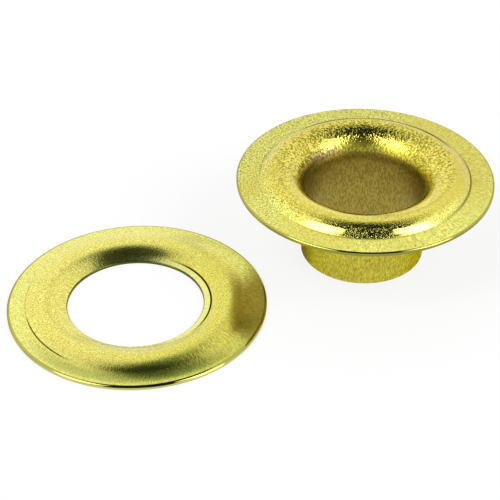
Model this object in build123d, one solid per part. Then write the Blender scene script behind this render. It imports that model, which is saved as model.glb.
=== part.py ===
from build123d import *
from math import acos, atan2, hypot, pi, sin, cos, sqrt, tan
import os

# A two-piece brass grommet, unset: the flanged eyelet, and the domed washer that goes over its
# barrel on the back of the cloth. Both halves are pressed from one gauge of brass sheet.
# Sizes are in millimetres and +Z is up. The origin is on the eyelet's axis, at the cut end of
# its barrel, which stands on the table. The washer lies on the same table, on the -X side.
# In the outlines below, a point is (distance from the half's own axis, height).

sheet = 0.30  # wall of both halves

# Eyelet, from the bore outwards
bore_radius = 4.60  # inside of the barrel
seat_height = 6.58  # underside of the brim, which bears on the cloth
funnel_radius = 2.35  # round mouth that leads from the crown down into the bore
crown_rise = 0.75  # top of the crown above the top of the brim
crown_shoulder = 1.35  # from the top of the crown out to the riser
crest_radius = 1.15  # outer round of the crown
riser_height = 0.15  # sharp little step that the die leaves between crown and brim
riser_run = 0.07  # how far the riser leans
brim_width = 1.73  # flat brim outside the riser
end_break = 0.10  # worn outer corner of the barrel's cut end

# Washer, from the hole outwards
washer_clearance = 0.37  # between the eyelet's barrel and the hole that passes over it
hole_runout = 0.14  # the hole is punched this far off the dome's axis, towards -X
lip_width = 0.44  # flat lip round the hole
lip_fall = 0.10  # how much thinner the lip is at the hole
dome_rise = 0.46  # top of the dome above the lip
dome_inner_width = 1.44  # from the lip out to the top of the dome
dome_outer_width = 1.65  # from the top of the dome out to its foot
rim_width = 1.22  # from the dome's foot out to the edge
rim_fall = 0.10  # how much the rim drops from the dome's foot to its edge

# Both outer edges: the punch draws the sheet down where it is blanked
roll_width = 0.22
roll_depth = 0.13

# The washer beside the eyelet, as the two halves lie
table_gap = 4.32  # between the eyelet's barrel and the washer's rim

barrel_radius = bore_radius + sheet
hole_radius = barrel_radius + washer_clearance
lip_radius = hole_radius + lip_width
dome_radius = lip_radius + dome_inner_width
foot_radius = dome_radius + dome_outer_width
washer_radius = foot_radius + rim_width
washer_spacing = barrel_radius + table_gap + washer_radius


def arc_radius(run, drop):
    """Radius of an arc that starts level and drops by drop over run."""
    return (run**2 + drop**2) / (2 * drop)


def on_arc(centre, radius, tilt):
    """Point of an arc where its surface leans outwards by tilt."""
    return (centre[0] + radius * sin(tilt), centre[1] + radius * cos(tilt))


def shoulder_tilt(centre, radius, end):
    """Lean of the straight slope that leaves a round shoulder smoothly and reaches end."""
    across, up = end[0] - centre[0], end[1] - centre[1]
    return pi / 2 - atan2(up, across) - acos(radius / hypot(across, up))


def eyelet_section():
    """Brim, riser, crown, funnel and barrel, one wall thick."""
    brim_top = seat_height + sheet
    crown_radius = bore_radius + funnel_radius
    crown_top = brim_top + crown_rise
    under_top = crown_top - sheet
    funnel_foot = crown_top - funnel_radius
    riser_top = (crown_radius + crown_shoulder, brim_top + riser_height)
    riser_foot = (riser_top[0] + riser_run, brim_top)
    flange_radius = riser_foot[0] + brim_width

    crest_centre = (crown_radius, crown_top - crest_radius)
    slope = shoulder_tilt(crest_centre, crest_radius, riser_top)
    crest_foot = on_arc(crest_centre, crest_radius, slope)
    crest_under = on_arc(crest_centre, crest_radius - sheet, slope)
    seat_radius = crest_under[0] + (crest_under[1] - seat_height) / tan(slope)

    with BuildSketch(Plane.XZ) as section:
        with BuildLine():
            # Funnel and crown, above and below
            TangentArc((bore_radius, funnel_foot), (crown_radius, crown_top), tangent=(0, 1))
            TangentArc((crown_radius, crown_top), crest_foot, tangent=(1, 0))
            TangentArc((barrel_radius, funnel_foot), (crown_radius, under_top), tangent=(0, 1))
            TangentArc((crown_radius, under_top), crest_under, tangent=(1, 0))
            # Slope, riser and brim, out to the edge and back underneath
            Polyline(crest_foot, riser_top, riser_foot, (flange_radius - roll_width, brim_top),
                     (flange_radius, brim_top - roll_depth), (flange_radius, seat_height),
                     (seat_radius, seat_height), crest_under)
            # Barrel, down to its cut end and back up the bore
            Polyline((barrel_radius, funnel_foot), (barrel_radius, end_break),
                     (barrel_radius - end_break, 0), (bore_radius, 0), (bore_radius, funnel_foot))
        make_face()
    return section.sketch


def washer_section():
    """Lip, dome and rim, one wall thick, before the hole is punched to size."""
    blank_radius = hole_radius - 2 * hole_runout
    blank_top = sheet - lip_fall * (lip_radius - blank_radius) / lip_width
    dome_top = sheet + dome_rise
    foot_top = sheet + rim_fall
    roll_start = (washer_radius - roll_width, sheet + rim_fall * roll_width / rim_width)

    # The faces under the dome share their centres with the arcs above them
    inner = arc_radius(dome_inner_width, dome_rise)
    outer = arc_radius(dome_outer_width, dome_rise - rim_fall)
    lip_under = (dome_radius - sqrt((inner - sheet) ** 2 - (inner - dome_top) ** 2), 0)
    under_top = (dome_radius, dome_rise)
    foot_tilt = atan2(dome_outer_width, outer - dome_rise + rim_fall)
    foot_under = on_arc((dome_radius, dome_top - outer), outer - sheet, foot_tilt)

    with BuildSketch(Plane.XZ) as section:
        with BuildLine():
            # Dome, above and below
            TangentArc((dome_radius, dome_top), (lip_radius, sheet), tangent=(-1, 0))
            TangentArc((dome_radius, dome_top), (foot_radius, foot_top), tangent=(1, 0))
            TangentArc(under_top, lip_under, tangent=(-1, 0))
            TangentArc(under_top, foot_under, tangent=(1, 0))
            # Rim, out to its edge and back underneath
            Polyline((foot_radius, foot_top), roll_start, (washer_radius, sheet - roll_depth),
                     (washer_radius, 0), foot_under)
            # Lip, in to the hole and back underneath
            Polyline((lip_radius, sheet), (blank_radius, blank_top), (blank_radius, 0), lip_under)
        make_face()
    return section.sketch


def make_eyelet():
    """The eyelet, standing on its barrel with the brim up."""
    return revolve(eyelet_section(), axis=Axis.Z)


def make_washer():
    """The washer, lying on its rim and lip with the dome up."""
    pressed = revolve(washer_section(), axis=Axis.Z)
    punch = Pos(-hole_runout, 0, 0) * Cylinder(hole_radius, 4 * sheet)
    return Pos(-washer_spacing, 0, 0) * (pressed - punch)


os.makedirs("parts", exist_ok=True)
export_step(make_eyelet(), "parts/eyelet.step")
export_step(make_washer(), "parts/washer.step")
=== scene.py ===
import bpy
import bmesh
from math import acos, asin, atan2, cos, degrees, hypot, radians, sin, tan
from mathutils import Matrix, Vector


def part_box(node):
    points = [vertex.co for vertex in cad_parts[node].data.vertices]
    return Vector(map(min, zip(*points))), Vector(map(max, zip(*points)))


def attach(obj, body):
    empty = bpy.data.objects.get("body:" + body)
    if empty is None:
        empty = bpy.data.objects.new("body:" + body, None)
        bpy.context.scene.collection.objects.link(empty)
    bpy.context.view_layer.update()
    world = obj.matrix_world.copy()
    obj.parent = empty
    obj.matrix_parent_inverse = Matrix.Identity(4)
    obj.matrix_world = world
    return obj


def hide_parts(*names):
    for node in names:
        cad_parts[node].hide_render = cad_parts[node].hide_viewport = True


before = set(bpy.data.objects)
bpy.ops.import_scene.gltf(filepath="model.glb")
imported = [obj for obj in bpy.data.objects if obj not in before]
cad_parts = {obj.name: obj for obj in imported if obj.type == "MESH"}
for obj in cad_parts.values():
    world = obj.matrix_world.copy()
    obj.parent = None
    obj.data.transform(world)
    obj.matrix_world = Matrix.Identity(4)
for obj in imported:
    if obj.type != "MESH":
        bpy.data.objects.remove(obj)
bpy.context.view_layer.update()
washerLow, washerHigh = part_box("washer")
washerCentre = (washerLow + washerHigh) / 2  # the washer's own axis, on the table
washerCentre.z = 0
print("frame loaded")

scene = bpy.context.scene
mm = 0.001
white = (1, 1, 1, 1)


def linear(hexCode):  # sRGB hex to a linear colour
    parts = [int(hexCode[i:i + 2], 16) / 255 for i in (0, 2, 4)]
    return [c / 12.92 if c < 0.04045 else ((c + 0.055) / 1.055) ** 2.4 for c in parts] + [1]


# Inputs are sockets or values, in the node's own order, or by number or name in a dictionary.
# A Map Range takes a value, the range that it comes from and the range that it goes to.
# A Mix takes its amount at 0 and its values at 2 and 3, or colours at 6 and 7, given at output 2.
def addNode(tree, kind, inputs=(), out=0, **settings):
    node = tree.nodes.new("ShaderNode" + kind)
    for name, value in settings.items():
        setattr(node, name, value)
    for key, value in inputs.items() if isinstance(inputs, dict) else enumerate(inputs):
        if isinstance(value, bpy.types.NodeSocket):
            tree.links.new(value, node.inputs[key])
        else:
            node.inputs[key].default_value = value
    return node.outputs[out] if node.outputs else None


def newMaterial(name):  # with the object's own coordinates, which every pattern here follows
    material = bpy.data.materials.new(name)
    material.use_nodes = True
    tree = material.node_tree
    tree.nodes.clear()
    return material, tree, addNode(tree, "TexCoord", out="Object")


# Camera: a short telephoto view from the front, over the washer's left
shot = {
    "position": (-49.465, -94.50, 78.92),  # mm
    "aim": (-8.504, 3.067, 0.0),  # mm, the point of the table at the picture's centre
    "lens": 117.65,
    "sensor": 36,
    "clip": (0.005, 20),  # m
}


def makeCamera():
    data = bpy.data.cameras.new("shotCamera")
    data.lens = shot["lens"]
    data.sensor_width = shot["sensor"]
    data.clip_start, data.clip_end = shot["clip"]
    camera = bpy.data.objects.new("shotCamera", data)
    scene.collection.objects.link(camera)
    camera.location = Vector(shot["position"]) * mm
    toAim = (Vector(shot["aim"]) - Vector(shot["position"])).normalized()
    camera.rotation_euler = toAim.to_track_quat("-Z", "Y").to_euler()
    scene.camera = camera
    return atan2(toAim.x, toAim.y)  # how far the studio is turned from the frame


studioTurn = makeCamera()
scene.view_settings.view_transform = "Standard"
print("camera placed")

# Studio: a white tent, dark overhead where its two halves part, with a lamp window each side.
# Places are shares of a direction (to the right, away from the camera, up), from -1 to 1.
studio = {
    "tentLeft": 1.14,
    "tentRight": 1.06,
    "tentSides": (-0.7, 0.4),  # it goes from one to the other between these
    "tentTop": 0.84,  # the tent is darker overhead than at its sides
    "overhead": (0.9, 0.7),  # where that is full, and where it ends
    "middle": 0.05,  # the opening lies a little to the right
    "gap": 0.03,
    "gapTip": 0.4,  # and its level at the point
    "gapTipFrom": 0.30,
    "gapHalf": 0.43,  # half width where the lamps begin; it narrows to a point away from them
    "gapWide": 0.02,
    "gapPoint": 0.66,
    "gapNear": -0.92,
    "lampCore": 6.5,
    "lampRim": 3.8,
    "lampAside": 0.59,
    "lampAway": -0.36,
    "lampAcross": 0.305,  # half width
    "lampAlong": 0.27,  # half length
    "lampTaper": 2.2,  # how much shorter it is at its inner end
    "lampBorder": (1.05, 0.93),  # shares of its size where it begins, and where it is full
    "lampGlow": (0.95, 0.35),  # and where the rim's level ends, and the core's begins
    "soft": 0.05,  # how gradual the opening's border is
    "horizon": 0.12,  # past the table's edge, on the camera's side, the room is dim
    "horizonTop": 0.16,
    "horizonSoft": 0.1,
    "nearSide": (0.35, 0.0),  # how far away that begins, and where it is full
    "shade": "c6e4c4",  # dim light in the tent is a little green
    "shadeLevels": (0.45, 0.95),  # the green fades out between these levels
    "floorHalf": 2.0,  # m
    "floorDrop": 0.02,  # mm, so that it shares no plane with a piece
    "floorWhite": "ececec",
    "floorLift": 0.8,  # how much of the floor's shadow the camera doesn't see
    "boreRadius": 4.75,  # mm, of the floor inside the eyelet's bore
}


def makeStudio():
    s = studio
    world = bpy.data.worlds.new("whiteTent")
    scene.world = world
    world.use_nodes = True
    tree = world.node_tree
    tree.nodes.clear()
    direction = addNode(tree, "TexCoord", out="Generated")
    turned = addNode(tree, "Mapping", {"Vector": direction, "Rotation": (0, 0, studioTurn)})
    right, away, up = addNode(tree, "SeparateXYZ", [turned]).node.outputs
    above = addNode(tree, "Math", [up, 0.0], operation="GREATER_THAN")
    aside = addNode(tree, "Math", [right, s["middle"]], operation="SUBTRACT")
    aside = addNode(tree, "Math", [aside], operation="ABSOLUTE")

    # The tent: brightest at its left, darker overhead, dim at the horizon on the near side
    sides = addNode(tree, "MapRange", [right, *s["tentSides"], s["tentLeft"], s["tentRight"]])
    low = addNode(tree, "MapRange", [up, *s["overhead"], s["tentTop"], 1.0])
    tent = addNode(tree, "Math", [sides, low], operation="MULTIPLY")
    near = addNode(tree, "MapRange", [away, *s["nearSide"]], interpolation_type="SMOOTHSTEP")
    dim = addNode(tree, "MapRange", [up, s["horizonTop"], s["horizonTop"] - s["horizonSoft"]],
                  interpolation_type="SMOOTHSTEP")
    dim = addNode(tree, "Math", [dim, near], operation="MULTIPLY")
    tent = addNode(tree, "MapRange", [dim, 0, 1, tent, s["horizon"]])

    # The opening: half its width at this distance, less the distance from its middle
    half = addNode(tree, "MapRange", [away, s["gapWide"], s["gapPoint"], s["gapHalf"], 0.0])
    inside = addNode(tree, "Math", [half, aside], operation="SUBTRACT")
    across = addNode(tree, "MapRange", [inside, -s["soft"], s["soft"]],
                     interpolation_type="SMOOTHSTEP")
    along = addNode(tree, "MapRange", [away, s["gapNear"] - s["soft"], s["gapNear"] + s["soft"]])
    gapArea = addNode(tree, "Math", [across, along], operation="MULTIPLY")
    gapArea = addNode(tree, "Math", [gapArea, above], operation="MULTIPLY")
    gap = addNode(tree, "MapRange", [away, s["gapTipFrom"], s["gapPoint"], s["gap"], s["gapTip"]])
    level = addNode(tree, "MapRange", [gapArea, 0, 1, tent, gap])

    # The lamps: distance from the nearer lamp's middle, 1 at its border
    place = addNode(tree, "CombineXYZ", [aside, away])
    place = addNode(tree, "VectorMath", [place, (s["lampAside"], s["lampAway"], 0)],
                    operation="SUBTRACT")
    place = addNode(tree, "VectorMath", [place, (1 / s["lampAcross"], 1 / s["lampAlong"], 0)],
                    operation="MULTIPLY")
    taper = addNode(tree, "MapRange", [aside, s["lampAside"] - s["lampAcross"], s["lampAside"],
                                       s["lampTaper"], 1.0])
    taper = addNode(tree, "CombineXYZ", [1.0, taper])
    place = addNode(tree, "VectorMath", [place, taper], operation="MULTIPLY")
    distance = addNode(tree, "VectorMath", [place], "Value", operation="LENGTH")
    lampArea = addNode(tree, "MapRange", [distance, *s["lampBorder"]],
                       interpolation_type="SMOOTHSTEP")
    lampArea = addNode(tree, "Math", [lampArea, above], operation="MULTIPLY")
    lamp = addNode(tree, "MapRange", [distance, *s["lampGlow"], s["lampRim"], s["lampCore"]],
                   interpolation_type="SMOOTHSTEP")
    level = addNode(tree, "MapRange", [lampArea, 0, 1, level, lamp])
    shaded = addNode(tree, "MapRange", [level, *s["shadeLevels"]])
    tint = addNode(tree, "Mix", {0: shaded, 6: linear(s["shade"]), 7: white}, 2,
                   data_type="RGBA")

    # The camera and clear materials see plain white; metal sees the tent, lamps and opening
    path = addNode(tree, "LightPath").node.outputs
    plain = addNode(tree, "Math", [path["Is Camera Ray"], path["Is Transmission Ray"]],
                    operation="MAXIMUM")
    level = addNode(tree, "MapRange", [plain, 0, 1, level, 1.0])
    tint = addNode(tree, "Mix", {0: plain, 6: tint, 7: white}, 2, data_type="RGBA")
    shade = addNode(tree, "Background", {"Color": tint, "Strength": level})
    addNode(tree, "OutputWorld", [shade])


def makePaper():
    # White paper: a plain diffuse sheet, brightened for the camera so that shadows stay faint
    paper, tree, place = newMaterial("whitePaper")
    lit = addNode(tree, "BsdfDiffuse", {"Color": linear(studio["floorWhite"])})
    glow = addNode(tree, "Emission", {"Color": white, "Strength": 1.0})
    # Down inside the bore the camera sees the paper as dark as the brass makes it
    centre = addNode(tree, "VectorMath", [place], "Value", operation="LENGTH")
    outside = addNode(tree, "Math", [centre, studio["boreRadius"] * mm],
                      operation="GREATER_THAN")
    path = addNode(tree, "LightPath").node.outputs
    seen = addNode(tree, "Math", [path["Is Camera Ray"], outside], operation="MULTIPLY")
    seen = addNode(tree, "Math", [seen, path["Is Glossy Ray"]], operation="MAXIMUM")
    seen = addNode(tree, "Math", [seen, path["Is Transmission Ray"]], operation="MAXIMUM")
    lift = addNode(tree, "Math", [seen, studio["floorLift"]], operation="MULTIPLY")
    both = addNode(tree, "MixShader", [lift, lit, glow])
    addNode(tree, "OutputMaterial", [both])
    return paper


def makeFloor():
    bm = bmesh.new()
    bmesh.ops.create_grid(bm, x_segments=1, y_segments=1, size=studio["floorHalf"])
    mesh = bpy.data.meshes.new("paperFloor")
    bm.to_mesh(mesh)
    bm.free()
    mesh.materials.append(makePaper())
    floor = bpy.data.objects.new("paperFloor", mesh)
    floor.location.z = -studio["floorDrop"] * mm
    scene.collection.objects.link(floor)


makeStudio()
makeFloor()
print("studio built")

# The pressed pieces; all lengths are in mm
sheet = 0.30  # the wall of both halves
turnSteps = 320  # faces round each piece
weld = 0.001  # points nearer than this are one
onEdge = 0.005  # a face whose middle is this near the outer edge belongs to the cut
onTable = 0.001  # and so does one this near the table, under the barrel
clearOf = 0.01  # a face whose middle is this far above a plane isn't in it
facesDown = -0.05  # upward part of the normal of a face that looks down


# Outlines are drawn in the XZ plane as (distance from the axis, height) in mm,
# one closed wire of a bmesh, and then spun round the axis
def start(bm, r, z):
    return bm.verts.new((r * mm, 0, z * mm))


def runTo(bm, last, r, z):
    new = bmesh.ops.extrude_vert_indiv(bm, verts=[last])["verts"][0]
    new.co = (r * mm, 0, z * mm)
    return new


def arcTo(bm, last, centre, turn, steps):  # turn is in degrees, clockwise where positive
    made = bmesh.ops.spin(bm, geom=[last], cent=(centre[0] * mm, 0, centre[1] * mm),
                          axis=(0, 1, 0), angle=radians(turn), steps=steps, use_merge=False)
    return [item for item in made["geom_last"] if isinstance(item, bmesh.types.BMVert)][0]


def roundCorner(bm, corner, size, segments):
    bmesh.ops.bevel(bm, geom=[corner], affect="VERTICES", offset=size * mm, segments=segments,
                    profile=0.5, material=-1)


def spinRound(bm):
    bmesh.ops.remove_doubles(bm, verts=bm.verts, dist=weld * mm)
    bmesh.ops.spin(bm, geom=bm.verts[:] + bm.edges[:], cent=(0, 0, 0), axis=(0, 0, 1),
                   angle=radians(360), steps=turnSteps, use_merge=True)
    bmesh.ops.remove_doubles(bm, verts=bm.verts, dist=weld / 2 * mm)
    bmesh.ops.recalc_face_normals(bm, faces=bm.faces)


def finishPiece(bm, name, materials, sharpAngle):
    for face in bm.faces:
        face.smooth = True
    for edge in bm.edges:
        if edge.is_manifold and edge.calc_face_angle(0) > radians(sharpAngle):
            edge.smooth = False
    mesh = bpy.data.meshes.new(name)
    bm.to_mesh(mesh)
    bm.free()
    for material in materials:
        mesh.materials.append(material)
    piece = bpy.data.objects.new(name, mesh)
    scene.collection.objects.link(piece)
    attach(piece, "root")
    return piece


# Brass, 70 parts copper to 30 zinc, unplated: a clear greenish yellow with a full metal gloss.
# Both halves share these values: a side is a direction from the axis, and a span is a range of
# how far a place lies towards it, from -1 to 1, or a range of a noise.
brassWork = {
    "lean": 1.4,  # what a step outwards counts along the profile, where a step down counts 1
    "pullAt": 5.6,  # mm from the axis, where the pulled crystals have the width they are given
    "scuffAt": 9.2,
    "scuffSide": (0.8, -0.6, 0.0),  # the brim is scuffed most on this side, and the washer is a deeper yellow there
    "scuffSpan": (-0.6, 0.6),
    "scuffShare": (0.2, 0.8),
    "scuffSoft": 0.3,  # mm
    "scuffInside": 0.15,  # what is left of the scuffs inside the brim
    "scuffSmooth": -0.25,  # and the peel is a little weaker on that side
    "patchSpan": (0.25, 0.8),
    "roughSpan": (0.3, 0.7),
    "freshSpan": (0.38, 0.56),
    "rubbedSide": (-0.39, -0.92, 0.0),  # the die rubbed the metal smoothest on this side, and the painted pit shade is lightest there
    "rubbedSpan": (-0.1, 0.45),
    "rubbedFleckSpan": (0.1, 0.8),
    "deeperSpan": (-0.2, 0.7),
    "noiseMean": 0.5,
    "peelHeight": 0.01,  # mm
    "markEdge": (0.7, 0.3),  # shares of a mark's width where it begins, and where it is full
    "markFull": 0.6,  # share of its spread where it is at full strength
}


# Crystals pulled long down the profile; their width holds at one distance from the axis
def drawnGrain(tree, outward, along, width, length, atRadius):
    around = addNode(tree, "VectorMath", {0: outward, "Scale": atRadius / width},
                     operation="SCALE")
    down = addNode(tree, "Math", [along, 1 / (length * mm)], operation="MULTIPLY")
    lift = addNode(tree, "CombineXYZ", {"Z": down})
    place = addNode(tree, "VectorMath", [around, lift], operation="ADD")
    return addNode(tree, "TexNoise", {"Vector": place, "Scale": 1.0, "Detail": 1.5,
                                      "Roughness": 0.55})


# Marks: rings round the axis, each along part of the way round. Some are real tool scores, and
# some are painted shade and painted reflections
def addMarks(tree, marks, metal, radius, outward):
    for mark in marks:
        begins, full = [share * mark["width"] * mm for share in brassWork["markEdge"]]
        middle, spread = radians(mark["middle"]), radians(mark["spread"])
        ring = addNode(tree, "Math", [radius, mark["radius"] * mm], operation="SUBTRACT")
        ring = addNode(tree, "Math", [ring], operation="ABSOLUTE")
        ring = addNode(tree, "MapRange", [ring, begins, full])
        arc = addNode(tree, "VectorMath", [outward, (cos(middle), sin(middle), 0)], "Value",
                      operation="DOT_PRODUCT")
        arc = addNode(tree, "MapRange", [arc, cos(spread), cos(spread * brassWork["markFull"]),
                                         0, mark["strength"]])
        ring = addNode(tree, "Math", [ring, arc], operation="MULTIPLY")
        for part in ("colour", "edgeOn"):
            metal[part] = addNode(tree, "Mix", {0: ring, 6: metal[part],
                                                7: linear(mark["colour"])}, 2, data_type="RGBA")


# Over the crown the sheet stretched most, so there the peel is never weak. The die pressed a
# smooth band at its foot, where only the highest crystals are left standing.
def addCrown(tree, crown, metal, place, radius):
    inner, outer = crown["bandFrom"] * mm, crown["bandTo"] * mm
    bandIn = addNode(tree, "MapRange", [radius, inner - crown["softIn"] * mm, inner],
                     interpolation_type="SMOOTHSTEP")
    bandOut = addNode(tree, "MapRange", [radius, outer + crown["softOut"] * mm, outer],
                      interpolation_type="SMOOTHSTEP")
    band = addNode(tree, "Math", [bandIn, bandOut], operation="MULTIPLY")
    top = addNode(tree, "MapRange", [radius, *[r * mm for r in crown["top"]]])
    within = addNode(tree, "Math", [radius, inner], operation="LESS_THAN")
    top = addNode(tree, "Math", [top, within], operation="MULTIPLY")
    least = addNode(tree, "Math", [top, crown["depth"]], operation="MULTIPLY")
    depth = addNode(tree, "Math", [metal["depth"], least], operation="MAXIMUM")
    peaks = addNode(tree, "TexNoise", {"Vector": place, "Detail": 1.0,
                                       "Scale": 1 / (crown["peakWidth"] * mm)})
    peaks = addNode(tree, "MapRange", [peaks, *crown["peakSpan"]])
    metal["bumps"] = addNode(tree, "Mix", {0: band, 2: metal["bumps"], 3: peaks})
    metal["depth"] = addNode(tree, "MapRange", [band, 0, 1, depth, crown["bandDepth"]])
    metal["rough"] = addNode(tree, "MapRange", [band, 0, 1, metal["rough"], crown["bandRough"]])


# The barrel was ironed by the punch, inside and out, and kept a dull skin. Outside, it is painted
# brown on the far left, a painted shade on the side away from the lamps, which the washer
# mirrors; it stays yellow where it is seen edge on.
def addSkin(tree, skin, metal, radius, height, outward, grain, fleck):
    ragged = addNode(tree, "Math", [grain, skin["ragged"] * mm, height],
                     operation="MULTIPLY_ADD")
    dull = addNode(tree, "MapRange", [ragged, skin["from"] * mm, skin["full"] * mm],
                   interpolation_type="SMOOTHSTEP")
    metal["depth"] = addNode(tree, "MapRange", [dull, 0, 1, metal["depth"], skin["depth"]])
    metal["rough"] = addNode(tree, "MapRange", [dull, 0, 1, metal["rough"], skin["rough"]])
    # Painted brown shade on the barrel's far left side
    paintedShadeShare = addNode(tree, "VectorMath", [outward, skin["paintedShadeSide"]], "Value",
                      operation="DOT_PRODUCT")
    paintedShadeShare = addNode(tree, "MapRange", [paintedShadeShare, *skin["paintedShadeSpan"]])
    ironed = addNode(tree, "Mix", {0: paintedShadeShare, 6: linear(skin["outside"]),
                                   7: linear(skin["paintedShadeColour"])}, 2, data_type="RGBA")
    streaks = addNode(tree, "MapRange", [grain, *skin["streakSpan"], *skin["streakGain"]])
    ironed = addNode(tree, "VectorMath", {0: ironed, "Scale": streaks}, operation="SCALE")
    outer = addNode(tree, "Math", [radius, skin["wallMiddle"] * mm], operation="GREATER_THAN")
    colour = addNode(tree, "Mix", {0: outer, 6: linear(skin["inside"]), 7: ironed}, 2,
                     data_type="RGBA")
    flecks = addNode(tree, "MapRange", [fleck, 0, 1, *skin["fleckGain"]])
    colour = addNode(tree, "VectorMath", {0: colour, "Scale": flecks}, operation="SCALE")
    barrel = addNode(tree, "Math", [radius, skin["within"] * mm], operation="LESS_THAN")
    barrel = addNode(tree, "Math", [barrel, dull], operation="MULTIPLY")
    metal["colour"] = addNode(tree, "Mix", {0: barrel, 6: metal["colour"], 7: colour}, 2,
                              data_type="RGBA")
    outer = addNode(tree, "Math", [barrel, outer], operation="MULTIPLY")
    metal["edgeOn"] = addNode(tree, "Mix", {0: outer, 6: metal["edgeOn"],
                                            7: linear(skin["edgeOn"])}, 2, data_type="RGBA")


def makeBrass(name, look, centre):
    b = brassWork
    brass, tree, place = newMaterial(name)
    place = addNode(tree, "Mapping", {"Vector": place, "Location": [-c for c in centre]})
    flat = addNode(tree, "VectorMath", [place, (1, 1, 0)], operation="MULTIPLY")
    outward = addNode(tree, "VectorMath", [flat], operation="NORMALIZE")
    radius = addNode(tree, "VectorMath", [flat], "Value", operation="LENGTH")
    height = addNode(tree, "SeparateXYZ", [place], "Z")
    scuffSide = addNode(tree, "VectorMath", [outward, b["scuffSide"]], "Value",
                        operation="DOT_PRODUCT")
    rubbedSide = addNode(tree, "VectorMath", [outward, b["rubbedSide"]], "Value",
                         operation="DOT_PRODUCT")

    # Orange peel: the sheet's crystals stand out where the press stretched it
    peel = addNode(tree, "TexNoise", {"Vector": place, "Scale": 1 / (look["peelWidth"] * mm),
                                      "Detail": 2.0, "Roughness": 0.6})
    # The same crystals pulled long, down into the bore and lightly out over the brim
    along = addNode(tree, "Math", [radius, b["lean"], height], operation="MULTIPLY_ADD")
    pull = drawnGrain(tree, outward, along, look["pullWidth"], look["pullLength"], b["pullAt"])
    scuff = drawnGrain(tree, outward, along, look["scuffWidth"], look["scuffLength"],
                       b["scuffAt"])
    scuffed = addNode(tree, "MapRange", [scuffSide, *b["scuffSpan"], *b["scuffShare"]])
    flange = addNode(tree, "MapRange", [radius, look["scuffFrom"] * mm,
                                        (look["scuffFrom"] + b["scuffSoft"]) * mm,
                                        b["scuffInside"], 1])
    scuffed = addNode(tree, "Math", [scuffed, flange], operation="MULTIPLY")
    nearBore = addNode(tree, "MapRange", [radius, look["pullFrom"] * mm, look["pullTo"] * mm],
                       interpolation_type="SMOOTHSTEP")
    grain = addNode(tree, "Mix", {0: scuffed, 2: peel, 3: scuff})
    grain = addNode(tree, "Mix", {0: nearBore, 2: grain, 3: pull})

    # The die rubbed the metal smoother in broad patches, and most of all on one side
    broad = addNode(tree, "TexNoise", {"Vector": place, "Scale": 1 / (look["patch"] * mm),
                                       "Detail": 1.0})
    patch = addNode(tree, "Math", [scuffSide, b["scuffSmooth"], broad],
                    operation="MULTIPLY_ADD")
    peelDepth = addNode(tree, "MapRange", [patch, *b["patchSpan"], look["peelLow"],
                                           look["peelHigh"]])
    pullDepth = addNode(tree, "MapRange", [rubbedSide, *b["rubbedSpan"], look["pullDepth"],
                                           look["pullSmooth"]])
    depth = addNode(tree, "MapRange", [nearBore, 0, 1, peelDepth, pullDepth])
    rough = addNode(tree, "MapRange", [broad, *b["roughSpan"], look["smooth"], look["rough"]])

    # Crystals differ in how much they send back, and their pits are painted darker: partly a
    # random tone, partly painted shade in the hollows
    gain = addNode(tree, "Math", [depth, look["fleck"], look["fleckBase"]],
                   operation="MULTIPLY_ADD")
    mean = addNode(tree, "MapRange", [rubbedSide, *b["rubbedFleckSpan"], b["noiseMean"],
                                      look["rubbedFleckMean"]])
    fleck = addNode(tree, "Math", [grain, b["noiseMean"]], operation="SUBTRACT")
    fleck = addNode(tree, "Math", [fleck, gain, mean], operation="MULTIPLY_ADD", use_clamp=True)
    # Inside the brim the metal is a warmer yellow than on it
    brim = addNode(tree, "MapRange", [radius, look["warmTo"] * mm, look["paleFrom"] * mm])
    fresh = addNode(tree, "MapRange", [broad, *b["freshSpan"], look["patchPale"], 1])
    brim = addNode(tree, "Math", [brim, fresh], operation="MULTIPLY")
    pale = addNode(tree, "Mix", {0: fleck, 6: linear(look["paleDark"]),
                                 7: linear(look["pale"])}, 2, data_type="RGBA")
    warm = addNode(tree, "Mix", {0: fleck, 6: linear(look["warmDark"]),
                                 7: linear(look["warm"])}, 2, data_type="RGBA")
    colour = addNode(tree, "Mix", {0: brim, 6: warm, 7: pale}, 2, data_type="RGBA")
    if "sideTint" in look:
        # One side is a deeper yellow
        deeper = addNode(tree, "MapRange", [scuffSide, *b["deeperSpan"]])
        deeper = addNode(tree, "Mix", {0: deeper, 6: white, 7: linear(look["sideTint"])}, 2,
                         data_type="RGBA")
        colour = addNode(tree, "VectorMath", [colour, deeper], operation="MULTIPLY")

    metal = {"colour": colour, "edgeOn": white, "bumps": grain, "depth": depth, "rough": rough}
    addMarks(tree, look["marks"], metal, radius, outward)
    if "crown" in look:
        addCrown(tree, look["crown"], metal, place, radius)
    if "skin" in look:
        addSkin(tree, look["skin"], metal, radius, height, outward, grain, fleck)
    relief = addNode(tree, "Bump", {"Height": metal["bumps"], "Strength": metal["depth"],
                                    "Distance": b["peelHeight"] * mm})
    surface = addNode(tree, "BsdfPrincipled", {"Base Color": metal["colour"], "Metallic": 1.0,
                                               "Specular Tint": metal["edgeOn"],
                                               "Roughness": metal["rough"], "Normal": relief})
    addNode(tree, "OutputMaterial", [surface])
    return brass


# Where the blanking punch drew the sheet down: rubbed smooth, with no grain left; its colour and
# edge tint are darkened, a painted shade along the rolled edges
burnishedAndShaded = {
    "colour": "b4ae54",
    "edgeOn": "8f8c38",
    "waveWidth": 0.9,  # mm
    "waveSpan": (0.3, 0.7),
    "rough": (0.04, 0.08),
}


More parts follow.
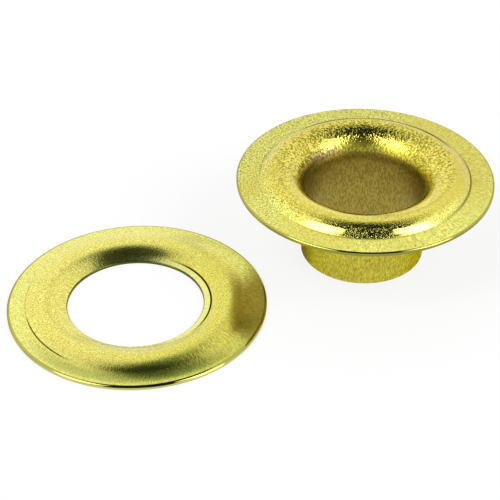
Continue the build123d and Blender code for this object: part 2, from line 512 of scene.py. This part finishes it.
def makeBurnishedShadedBrass():
    brass, tree, place = newMaterial("burnishedShadedBrass")
    wave = addNode(tree, "TexNoise", {"Vector": place, "Detail": 1.0,
                                      "Scale": 1 / (burnishedAndShaded["waveWidth"] * mm)})
    rough = addNode(tree, "MapRange", [wave, *burnishedAndShaded["waveSpan"], *burnishedAndShaded["rough"]])
    surface = addNode(tree, "BsdfPrincipled", {"Base Color": linear(burnishedAndShaded["colour"]),
                                               "Metallic": 1.0, "Roughness": rough,
                                               "Specular Tint": linear(burnishedAndShaded["edgeOn"])})
    addNode(tree, "OutputMaterial", [surface])
    return brass


# The blanked edge and the punched hole: metal torn straight down, dull and finely scored
sheared = {
    "tearWidth": 0.12,  # mm
    "tearStretch": 0.15,  # how slowly the tears change downwards
    "tearHeight": 0.006,  # mm
    "tearDepth": 0.6,
    "rough": 0.3,
}


def makeShearedBrass(name, shade):
    brass, tree, place = newMaterial(name)
    drawn = addNode(tree, "Mapping", {"Vector": place, "Scale": (1, 1, sheared["tearStretch"])})
    tear = addNode(tree, "TexNoise", {"Vector": drawn, "Detail": 2.0,
                                      "Scale": 1 / (sheared["tearWidth"] * mm)})
    relief = addNode(tree, "Bump", {"Height": tear, "Distance": sheared["tearHeight"] * mm,
                                    "Strength": sheared["tearDepth"]})
    surface = addNode(tree, "BsdfPrincipled", {"Base Color": linear(shade), "Metallic": 1.0,
                                               "Roughness": sheared["rough"],
                                               "Normal": relief})
    addNode(tree, "OutputMaterial", [surface])
    return brass


# The flange's underside: dull, and painted a darker brown as shade under the flange; the washer
# mirrors it as a brown patch
undersideShade = {
    "dark": "b09f76",
    "light": "c2b28a",
    "cloudWidth": 1.5,  # mm
    "rough": 0.45,
}


def makeShadedUndersideBrass():
    brass, tree, place = newMaterial("skinBrass")
    cloud = addNode(tree, "TexNoise", {"Vector": place, "Detail": 1.0,
                                       "Scale": 1 / (undersideShade["cloudWidth"] * mm)})
    colour = addNode(tree, "Mix", {0: cloud, 6: linear(undersideShade["dark"]),
                                   7: linear(undersideShade["light"])}, 2, data_type="RGBA")
    surface = addNode(tree, "BsdfPrincipled", {"Base Color": colour, "Metallic": 1.0,
                                               "Roughness": undersideShade["rough"]})
    addNode(tree, "OutputMaterial", [surface])
    return brass


burnishedShadedBrass = makeBurnishedShadedBrass()
print("brass for the rolled edges made")

eyelet = {
    "boreRadius": 4.60,
    "seatHeight": 6.58,
    "funnelRadius": 2.35,
    "crownRise": 0.75,
    "crownShoulder": 1.26,
    "crestRadius": 1.52,
    "riserHeight": 0.15,
    "riserRun": 0.11,
    "riserRound": 0.03,
    "riserFillet": 0.05,
    "brimWidth": 1.78,
    "droopRadius": 1.6,  # the brim's outer part leans down before the edge
    "droopTurn": 3,
    "rollRadius": 0.14,  # the die roll round the outer edge
    "rollTurn": 72,
    "seatRound": 0.15,
    "endRound": 0.08,
    "steps": {"funnel": 24, "crest": 10, "droop": 4, "roll": 8, "underCrest": 8,
              "underFunnel": 20, "riserRound": 2, "riserFillet": 6, "seat": 4, "end": 4},
    "sharpAngle": 30,
    "edge": "989340",  # the cut edge and the barrel's end, painted darker as shade
    "look": {  # colours are sRGB hex values
        "pale": "fffb86",
        "paleDark": "969238",
        "warm": "f4e66a",
        "warmDark": "a89834",
        "warmTo": 7.55,
        "paleFrom": 7.9,
        "patchPale": 0.35,  # how pale the warmest patches of the brim are
        "peelWidth": 0.135,  # mm, one crystal, as coarse as it needs to be to show
        "pullWidth": 0.15,
        "pullLength": 0.30,
        "pullFrom": 7.4,
        "pullTo": 6.6,
        "pullDepth": 4.8,
        "pullSmooth": 0.5,  # on the side that the die rubbed
        "scuffWidth": 0.125,
        "scuffLength": 0.38,
        "scuffFrom": 8.2,
        "patch": 6.0,
        "peelLow": 0.4,
        "peelHigh": 3.2,
        "rubbedFleckMean": 0.74,  # mean of the flecks on the rubbed side: less painted pit shade there, so a lighter colour
        "fleck": 1.2,
        "fleckBase": 1.0,
        "smooth": 0.10,
        "rough": 0.15,
        "marks": [
            {"radius": 8.27, "width": 0.13, "middle": 30, "spread": 130, "strength": 0.6,
             "colour": "4c4a16"},  # painted shade in the corner against the riser
            {"radius": 7.68, "width": 0.50, "middle": 56, "spread": 56, "strength": 0.8,
             "colour": "3c3a10"},  # painted dark reflection on the far slope of the crown
        ],
        "crown": {
            "top": (6.7, 7.0),
            "depth": 2.7,
            "bandFrom": 7.75,
            "bandTo": 8.38,
            "softIn": 0.15,
            "softOut": 0.1,
            "bandDepth": 0.95,
            "bandRough": 0.06,
            "peakWidth": 0.065,
            "peakSpan": (0.595, 0.78),
        },
        "skin": {
            "inside": "ac9a46",
            "outside": "c4b944",
            # painted brown shade on the barrel's far left, towards this side, over this span
            "paintedShadeColour": "83744a",
            "paintedShadeSide": (-0.7, 0.7, 0),
            "paintedShadeSpan": (0.5, 0.8),
            "edgeOn": "c8bc5c",
            "from": 7.9,  # the border rises and falls with the grain
            "full": 7.0,
            "ragged": 1.2,
            "wallMiddle": 4.75,
            "within": 5.3,
            "streakSpan": (0.35, 0.65),
            "streakGain": (0.80, 1.14),
            "fleckGain": (0.7, 1.15),
            "depth": 0.8,
            "rough": 0.4,
        },
    },
}


def makeEyelet():
    e, steps = eyelet, eyelet["steps"]
    barrelRadius = e["boreRadius"] + sheet
    brimTop = e["seatHeight"] + sheet
    crownRadius = e["boreRadius"] + e["funnelRadius"]
    crownTop = brimTop + e["crownRise"]
    funnelFoot = crownTop - e["funnelRadius"]
    funnelCentre = (crownRadius, funnelFoot)
    crestCentre = (crownRadius, crownTop - e["crestRadius"])
    riserTop = (crownRadius + e["crownShoulder"], brimTop + e["riserHeight"])
    edgeRadius = riserTop[0] + e["riserRun"] + e["brimWidth"]
    droop, rollEnd = radians(e["droopTurn"]), radians(e["droopTurn"] + e["rollTurn"])
    droopStart = (edgeRadius - e["droopRadius"] * sin(droop)
                  - e["rollRadius"] * (sin(rollEnd) - sin(droop)))
    rollStart = droopStart + e["droopRadius"] * sin(droop)
    # Lean of the straight slope that leaves the crest smoothly and reaches the riser's top
    across, up = riserTop[0] - crestCentre[0], riserTop[1] - crestCentre[1]
    slope = degrees(asin(e["crestRadius"] / hypot(across, up)) - atan2(up, across))

    bm = bmesh.new()
    v = start(bm, e["boreRadius"], 0)
    v = runTo(bm, v, e["boreRadius"], funnelFoot)
    v = arcTo(bm, v, funnelCentre, 90, steps["funnel"])
    v = arcTo(bm, v, crestCentre, slope, steps["crest"])
    riserEdge = runTo(bm, v, *riserTop)
    riserFoot = runTo(bm, riserEdge, riserTop[0] + e["riserRun"], brimTop)
    v = runTo(bm, riserFoot, droopStart, brimTop)
    v = arcTo(bm, v, (droopStart, brimTop - e["droopRadius"]), e["droopTurn"], steps["droop"])
    v = arcTo(bm, v, (v.co.x / mm - e["rollRadius"] * sin(droop),
                      v.co.z / mm - e["rollRadius"] * cos(droop)), e["rollTurn"], steps["roll"])
    v = runTo(bm, v, edgeRadius, e["seatHeight"])
    # Back underneath: the same two arcs, one sheet smaller, so the wall stays even
    innerCrest = e["crestRadius"] - sheet
    underFoot = (crestCentre[0] + innerCrest * sin(radians(slope)),
                 crestCentre[1] + innerCrest * cos(radians(slope)))
    seatRadius = underFoot[0] + (underFoot[1] - e["seatHeight"]) / tan(radians(slope))
    seat = runTo(bm, v, seatRadius, e["seatHeight"])
    v = runTo(bm, seat, *underFoot)
    v = arcTo(bm, v, crestCentre, -slope, steps["underCrest"])
    v = arcTo(bm, v, funnelCentre, -90, steps["underFunnel"])
    foot = runTo(bm, v, barrelRadius, 0)
    runTo(bm, foot, e["boreRadius"], 0)
    roundCorner(bm, riserEdge, e["riserRound"], steps["riserRound"])
    roundCorner(bm, riserFoot, e["riserFillet"], steps["riserFillet"])
    roundCorner(bm, seat, e["seatRound"], steps["seat"])
    roundCorner(bm, foot, e["endRound"], steps["end"])
    spinRound(bm)
    cut, rolled, shadedUnderSlot = 1, 2, 3  # places in the piece's list of materials; the last is the underside, painted in shade
    for face in bm.faces:
        middle = face.calc_center_median() / mm
        radius = hypot(middle.x, middle.y)
        if radius > edgeRadius - onEdge or middle.z < onTable:
            face.material_index = cut
        elif face.normal.z < facesDown and radius > barrelRadius:
            face.material_index = shadedUnderSlot
        elif radius > rollStart and middle.z > e["seatHeight"] + clearOf:
            face.material_index = rolled
    return bm


eyeletPiece = finishPiece(makeEyelet(), "drawnEyelet",
                          [makeBrass("drawnBrass", eyelet["look"], (0, 0, 0)),
                           makeShearedBrass("shadedShearedBrass", eyelet["edge"]),
                           burnishedShadedBrass, makeShadedUndersideBrass()], eyelet["sharpAngle"])
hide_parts("eyelet")
print("eyelet drawn")

washer = {
    "holeRadius": 5.27,
    "holeRunout": 0.14,  # the hole lies this far off the dome's axis, towards -X
    "holeReach": 0.1,  # its wall and its round, this far out, are moved there
    "holeRound": 0.06,
    "lipWidth": 0.44,
    "lipFall": 0.10,
    "domeRise": 0.46,
    "domeInnerWidth": 1.44,
    "domeInnerTurn": 28,  # steepest lean of the dome towards the hole
    "domeOuterWidth": 1.95,
    "domeOuterTurn": 18,  # steepest lean of the dome towards the rim
    "rimWidth": 0.92,
    "rimFall": 0.04,
    "footRound": 0.60,
    "rollRadius": 0.23,
    "rollTurn": 62,
    "steps": {"inner": 14, "outer": 12, "roll": 7, "under": 10, "foot": 10, "hole": 3},
    "sharpAngle": 25,
    "edge": "c8c880",  # the cut edge
    # the hole's wall and its round: painted dark shade
    "holeWallShade": "5a5e24",
    "look": {
        "pale": "fefc98",
        "paleDark": "c8c65c",
        "warm": "fff58a",
        "warmDark": "c4ba4c",
        "warmTo": 8.4,
        "paleFrom": 9.2,
        "patchPale": 0.6,
        "peelWidth": 0.12,
        "pullWidth": 0.13,
        "pullLength": 0.4,
        "pullFrom": 6.4,
        "pullTo": 5.2,
        "pullDepth": 0.8,
        "pullSmooth": 0.6,
        "scuffWidth": 0.10,
        "scuffLength": 0.3,
        "scuffFrom": 7.4,
        "patch": 5.0,
        "peelLow": 0.7,
        "peelHigh": 1.4,
        "rubbedFleckMean": 0.5,
        "fleck": 1.2,
        "fleckBase": 2.2,
        "smooth": 0.15,
        "rough": 0.2,
        "sideTint": "f3f4d8",
        "marks": [
            {"radius": 5.42, "width": 0.50, "middle": 0, "spread": 120, "strength": 0.45,
             "colour": "f6fcb0"},  # the lip, a paler colour except on its left side
            {"radius": 5.71, "width": 0.14, "middle": -10, "spread": 56, "strength": 1.0,
             "colour": "181604"},  # painted shade in the crease round the lip
            {"radius": 8.60, "width": 0.09, "middle": 194, "spread": 22, "strength": 1.0,
             "colour": "2c2a08"},  # the die's score on the dome's left side
            {"radius": 9.20, "width": 0.80, "middle": -113, "spread": 60, "strength": 0.4,
             "colour": "7c8a34"},  # painted dim green reflection on the near rim
            {"radius": 8.60, "width": 0.09, "middle": 168, "spread": 34, "strength": 0.3,
             "colour": "5c5618"},  # the score's faint end
        ],
    },
}


def makeWasher():
    w, steps = washer, washer["steps"]
    lipRadius = w["holeRadius"] + w["lipWidth"]
    domeRadius = lipRadius + w["domeInnerWidth"]
    footRadius = domeRadius + w["domeOuterWidth"]
    edgeRadius = footRadius + w["rimWidth"]
    domeTop = sheet + w["domeRise"]
    # Radius of each side's round shoulder, which ends in a straight slope at the steepest lean
    innerTurn, outerTurn = radians(w["domeInnerTurn"]), radians(w["domeOuterTurn"])
    inner = ((w["domeInnerWidth"] * sin(innerTurn) - w["domeRise"] * cos(innerTurn))
             / (1 - cos(innerTurn)))
    outerDrop = w["domeRise"] - w["rimFall"]
    outer = ((w["domeOuterWidth"] * sin(outerTurn) - outerDrop * cos(outerTurn))
             / (1 - cos(outerTurn)))
    innerCentre, outerCentre = (domeRadius, domeTop - inner), (domeRadius, domeTop - outer)
    rimLean = atan2(w["rimFall"], w["rimWidth"])
    rollEnd = rimLean + radians(w["rollTurn"])
    rollWidth = w["rollRadius"] * (sin(rollEnd) - sin(rimLean))
    rollStart = (edgeRadius - rollWidth, sheet + rollWidth * tan(rimLean))
    rollCentre = (rollStart[0] - w["rollRadius"] * sin(rimLean),
                  rollStart[1] - w["rollRadius"] * cos(rimLean))

    bm = bmesh.new()
    v = start(bm, w["holeRadius"], 0)
    holeEdge = runTo(bm, v, w["holeRadius"], sheet - w["lipFall"])
    v = runTo(bm, holeEdge, lipRadius, sheet)
    v = runTo(bm, v, domeRadius - inner * sin(innerTurn), domeTop - inner * (1 - cos(innerTurn)))
    v = arcTo(bm, v, innerCentre, w["domeInnerTurn"], steps["inner"])
    v = arcTo(bm, v, outerCentre, w["domeOuterTurn"], steps["outer"])
    foot = runTo(bm, v, footRadius, sheet + w["rimFall"])
    v = runTo(bm, foot, *rollStart)
    v = arcTo(bm, v, rollCentre, w["rollTurn"], steps["roll"])
    v = runTo(bm, v, edgeRadius, 0)
    # Back underneath, one sheet lower: each arc ends at the table or in the straight slope
    underSlope = (outerCentre[0] + (outer - sheet) * sin(outerTurn),
                  outerCentre[1] + (outer - sheet) * cos(outerTurn))
    underTurn = acos((inner - domeTop) / (inner - sheet))
    v = runTo(bm, v, underSlope[0] + underSlope[1] / tan(outerTurn), 0)
    v = runTo(bm, v, *underSlope)
    v = arcTo(bm, v, outerCentre, -w["domeOuterTurn"], steps["under"])
    v = arcTo(bm, v, innerCentre, -degrees(underTurn), steps["under"])
    runTo(bm, v, w["holeRadius"], 0)
    roundCorner(bm, foot, w["footRound"], steps["foot"])
    roundCorner(bm, holeEdge, w["holeRound"], steps["hole"])
    spinRound(bm)
    nearHole = (w["holeRadius"] + w["holeReach"]) * mm
    ring = [p for p in bm.verts if hypot(p.co.x, p.co.y) < nearHole]
    bmesh.ops.translate(bm, verts=ring, vec=(-w["holeRunout"] * mm, 0, 0))
    cut, rolled, holeWallShade = 1, 2, 3  # places in the piece's list of materials; the last is the hole's wall, painted in shade
    for face in bm.faces:
        middle = face.calc_center_median() / mm
        radius = hypot(middle.x, middle.y)
        fromHole = hypot(middle.x + w["holeRunout"], middle.y) - w["holeRadius"]
        if radius > edgeRadius - onEdge:
            face.material_index = cut
        elif radius > rollStart[0] and middle.z > clearOf:
            face.material_index = rolled
        elif fromHole < w["holeRound"] and middle.z > clearOf:
            face.material_index = holeWallShade
    bmesh.ops.translate(bm, verts=bm.verts, vec=washerCentre)
    return bm


washerPiece = finishPiece(makeWasher(), "pressedWasher",
                          [makeBrass("pressedBrass", washer["look"], washerCentre),
                           makeShearedBrass("shearedBrass", washer["edge"]), burnishedShadedBrass,
                           makeShearedBrass("shadedHoleBrass", washer["holeWallShade"])],
                          washer["sharpAngle"])
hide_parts("washer")
print("washer pressed")
